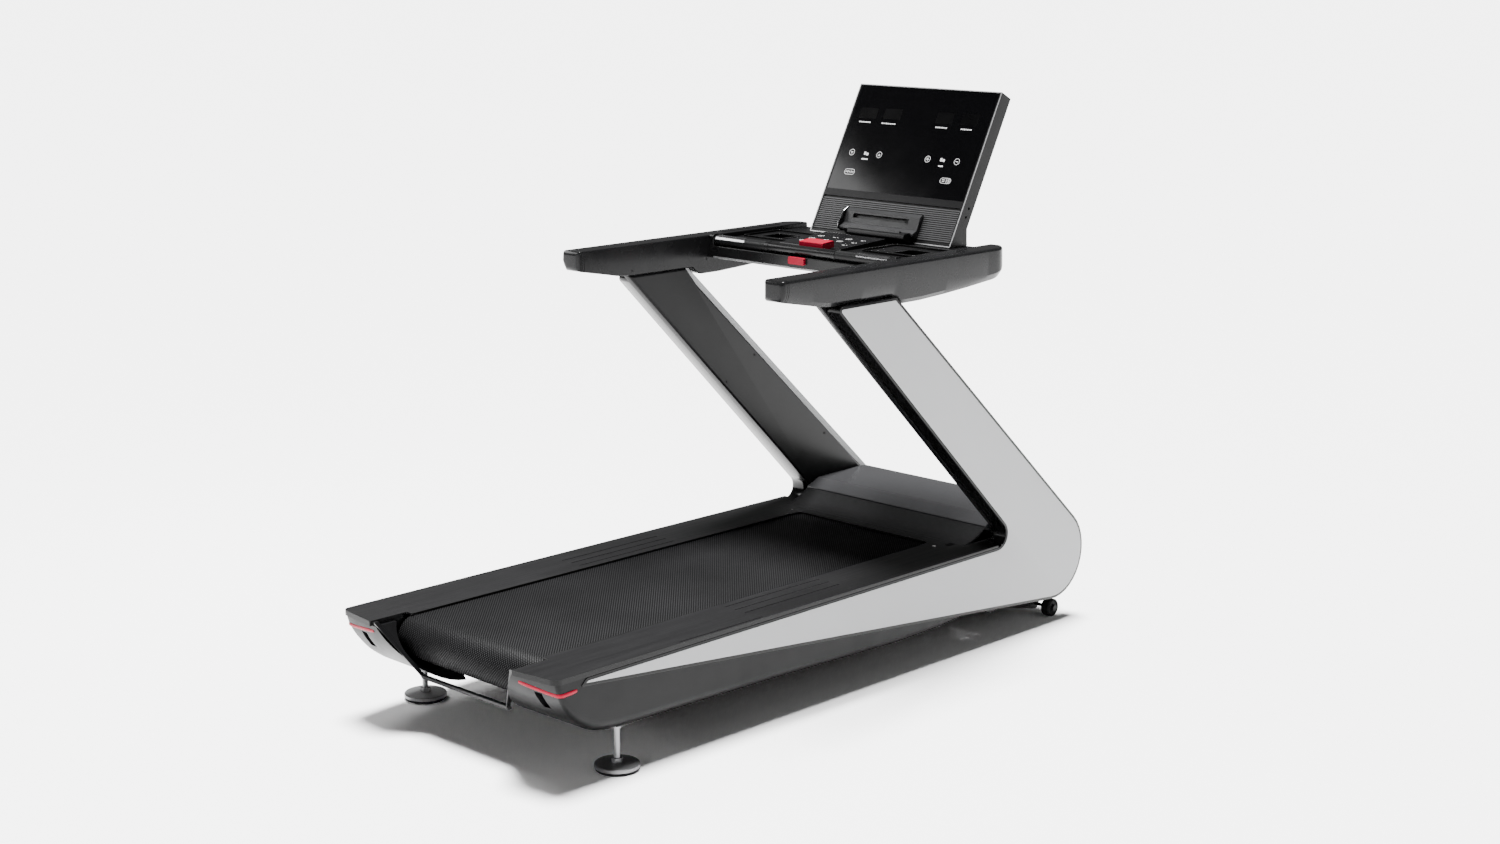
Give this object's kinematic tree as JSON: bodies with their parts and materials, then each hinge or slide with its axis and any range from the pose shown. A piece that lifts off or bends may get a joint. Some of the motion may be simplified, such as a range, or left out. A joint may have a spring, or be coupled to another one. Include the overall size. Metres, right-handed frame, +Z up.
{
  "type": "treadmill",
  "caption": "Motorised flat-deck gym treadmill with slanted side uprights, long handrails, desk with grips and a leaning touch display.",
  "frame": {"origin": "on the floor under the middle of the machine", "axes": "+Y towards the display end that the user faces, +X to the user's right, +Z up"},
  "size_m": [0.92, 2.2185, 1.6494],
  "materials": {
    "silver_paint": "satin silver metallic paint",
    "edge_grey": "satin moulded edging",
    "charcoal_plastic": "satin moulded plastic with fine texture",
    "deck_grey": "brushed-grain anti-slip moulding",
    "hood_grey": "semi-gloss paint",
    "frame_black": "black powder coat",
    "belt_rubber": "woven-pattern running surface",
    "rubber_black": "matt rubber",
    "board_wood": "phenolic-faced fibreboard",
    "machined_steel": "turned and zinc plated",
    "foot_steel": "dark zinc plate",
    "bright_steel": "polished",
    "motor_paint": "black enamel",
    "circuit_board": "board and heat sink",
    "accent_red": "glossy red",
    "glass_black": "black back-printed glass",
    "key_panel": "smooth membrane panel"
  },
  "bodies": {
    "treadmill": {"base_frame": "frame_black", "deck_board": "board_wood", "deck_cushions": "rubber_black", "running_belt": "belt_rubber", "roller_axles": "machined_steel", "roller_bearings": "bright_steel", "tension_bolts": "machined_steel", "drive_motor": "motor_paint", "drive_belt": "rubber_black", "motor_controller": "circuit_board", "lift_actuator": "motor_paint", "foot_nuts": "foot_steel", "foot_rail_left": "deck_grey", "foot_rail_right": "deck_grey", "rear_cap_left": "charcoal_plastic", "rear_cap_right": "charcoal_plastic", "accent_strips": "accent_red", "rear_trim": "edge_grey", "side_panel_left": "silver_paint", "side_panel_right": "silver_paint", "panel_edges": "edge_grey", "side_cover_left": "charcoal_plastic", "side_cover_right": "charcoal_plastic", "upright_frame": "frame_black", "upright_cover_left": "charcoal_plastic", "upright_cover_right": "charcoal_plastic", "cover_screws": "frame_black", "hood_ramp": "deck_grey", "motor_hood": "hood_grey", "front_bumper": "charcoal_plastic", "power_inlet": "frame_black", "handrail_left": "charcoal_plastic", "handrail_right": "charcoal_plastic", "handrail_ends": "charcoal_plastic", "desk_pan": "charcoal_plastic", "desk_top": "charcoal_plastic", "keypad_panel": "key_panel", "crossbar": "edge_grey", "bar_grips": "rubber_black", "pulse_plates": "bright_steel", "console_shell": "charcoal_plastic", "console_glass": "glass_black", "speaker_grille": "charcoal_plastic", "tablet_holder": "charcoal_plastic", "console_neck": "charcoal_plastic"},
    "front_roller_set": {"front_roller": "machined_steel", "roller_pulley": "motor_paint"},
    "rear_roller_set": {"rear_roller": "machined_steel"},
    "motor_rotor": {"motor_flywheel": "machined_steel"},
    "lift_arm": {"lift_frame": "frame_black"},
    "lift_screw": {"lift_rod": "bright_steel"},
    "wheel_left": {"front_wheel_left": "rubber_black"},
    "wheel_right": {"front_wheel_right": "rubber_black"},
    "foot_left": {"rear_foot_left": "foot_steel", "foot_pad_left": "rubber_black"},
    "foot_right": {"rear_foot_right": "foot_steel", "foot_pad_right": "rubber_black"},
    "stop_button": {"estop_button": "accent_red"},
    "pull_key": {"safety_key": "accent_red"},
    "switch_rocker": {"power_switch": "accent_red"}
  },
  "joints": [
    {"name": "front_roller_spin", "type": "hinge", "parent": "treadmill", "child": "front_roller_set", "pos_m": [0, 0.64, 0.241], "axis": [1, 0, 0], "continuous": true},
    {"name": "rear_roller_spin", "type": "hinge", "parent": "treadmill", "child": "rear_roller_set", "pos_m": [0, -0.972, 0.241], "axis": [1, 0, 0], "continuous": true},
    {"name": "motor_spin", "type": "hinge", "parent": "treadmill", "child": "motor_rotor", "pos_m": [-0.27, 0.875, 0.2555], "axis": [1, 0, 0], "continuous": true},
    {"name": "lift_hinge", "type": "hinge", "parent": "treadmill", "child": "lift_arm", "pos_m": [0, 0.74, 0.096], "axis": [-1, 0, 0], "range_deg": [0, 40]},
    {"name": "lift_screw_slide", "type": "slide", "parent": "treadmill", "child": "lift_screw", "axis": [0, 1, 0], "range_m": [0, 0.0662]},
    {"name": "wheel_left_spin", "type": "hinge", "parent": "lift_arm", "child": "wheel_left", "pos_m": [-0.39, 1.018, 0.028], "axis": [1, 0, 0], "continuous": true},
    {"name": "wheel_right_spin", "type": "hinge", "parent": "lift_arm", "child": "wheel_right", "pos_m": [0.39, 1.018, 0.028], "axis": [1, 0, 0], "continuous": true},
    {"name": "foot_left_level", "type": "slide", "parent": "treadmill", "child": "foot_left", "axis": [0, 0, -1], "range_m": [0, 0.02]},
    {"name": "foot_right_level", "type": "slide", "parent": "treadmill", "child": "foot_right", "axis": [0, 0, -1], "range_m": [0, 0.02]},
    {"name": "stop_button_press", "type": "slide", "parent": "treadmill", "child": "stop_button", "axis": [0, 0, -1], "range_m": [0, 0.005], "stiffness_N_per_m": 1500, "springref_m": -0.003},
    {"name": "key_pull", "type": "slide", "parent": "treadmill", "child": "pull_key", "axis": [0, -1, 0], "range_m": [0, 0.04]},
    {"name": "switch_rock", "type": "hinge", "parent": "treadmill", "child": "switch_rocker", "pos_m": [-0.224, 1.085, 0.19], "axis": [-1, 0, 0], "range_deg": [0, 14]}
  ],
  "couplings": [
    {"joint": "rear_roller_spin", "follows": "front_roller_spin", "ratio": 1},
    {"joint": "motor_spin", "follows": "front_roller_spin", "ratio": 1.875},
    {"joint": "lift_screw_slide", "follows": "lift_hinge", "m_per_rad": 0.094062}
  ]
}
